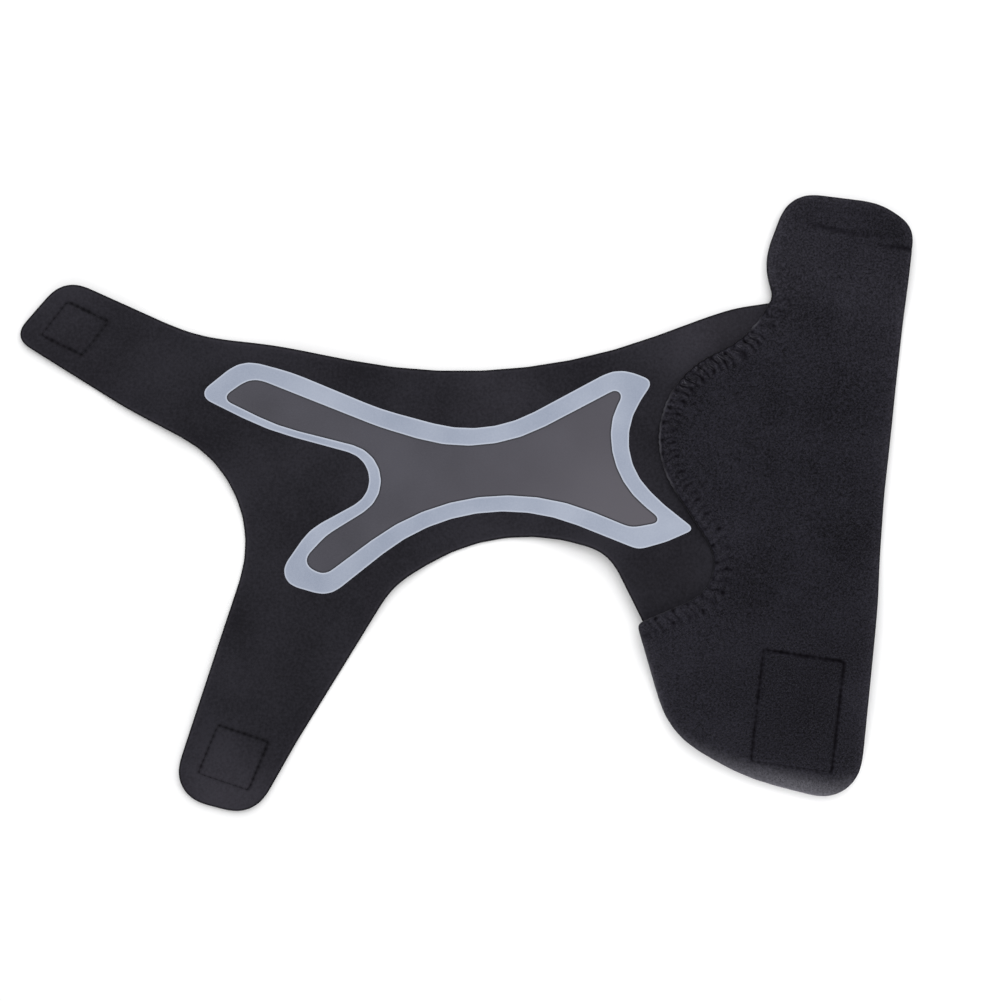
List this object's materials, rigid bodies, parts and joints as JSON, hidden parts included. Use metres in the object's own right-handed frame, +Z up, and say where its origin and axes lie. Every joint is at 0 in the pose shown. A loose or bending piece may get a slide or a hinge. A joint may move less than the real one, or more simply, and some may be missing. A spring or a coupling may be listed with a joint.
{
  "type": "ankle support wrap",
  "caption": "Open wrap-around ankle support laid flat: stretch body with forked strap tails, bonded cross-shaped support film, plush cuff panel and hook pads behind the ends.",
  "frame": {"origin": "centre of the bounding box on the table it lies on", "axes": "+X from the strap tips to the cuff, +Y towards the cuff's top end, +Z up, away from the table and out of the wrap's outside face"},
  "size_m": [0.428, 0.2957, 0.0123],
  "materials": {
    "stretch_cloth": "smooth matt black stretch knit",
    "plush": "black loop pile",
    "film_border": "matt pale blue-grey bonded film",
    "film_center": "satin dark grey bonded film",
    "hook_tape": "black hook tape"
  },
  "bodies": {
    "root": {"wrap_body": "stretch_cloth", "cuff_panel": "plush", "support_film_border": "film_border", "support_film_center": "film_center", "hook_pad_upper_strap": "hook_tape", "hook_pad_lower_strap": "hook_tape", "hook_pad_cuff": "hook_tape"}
  },
  "joints": []
}
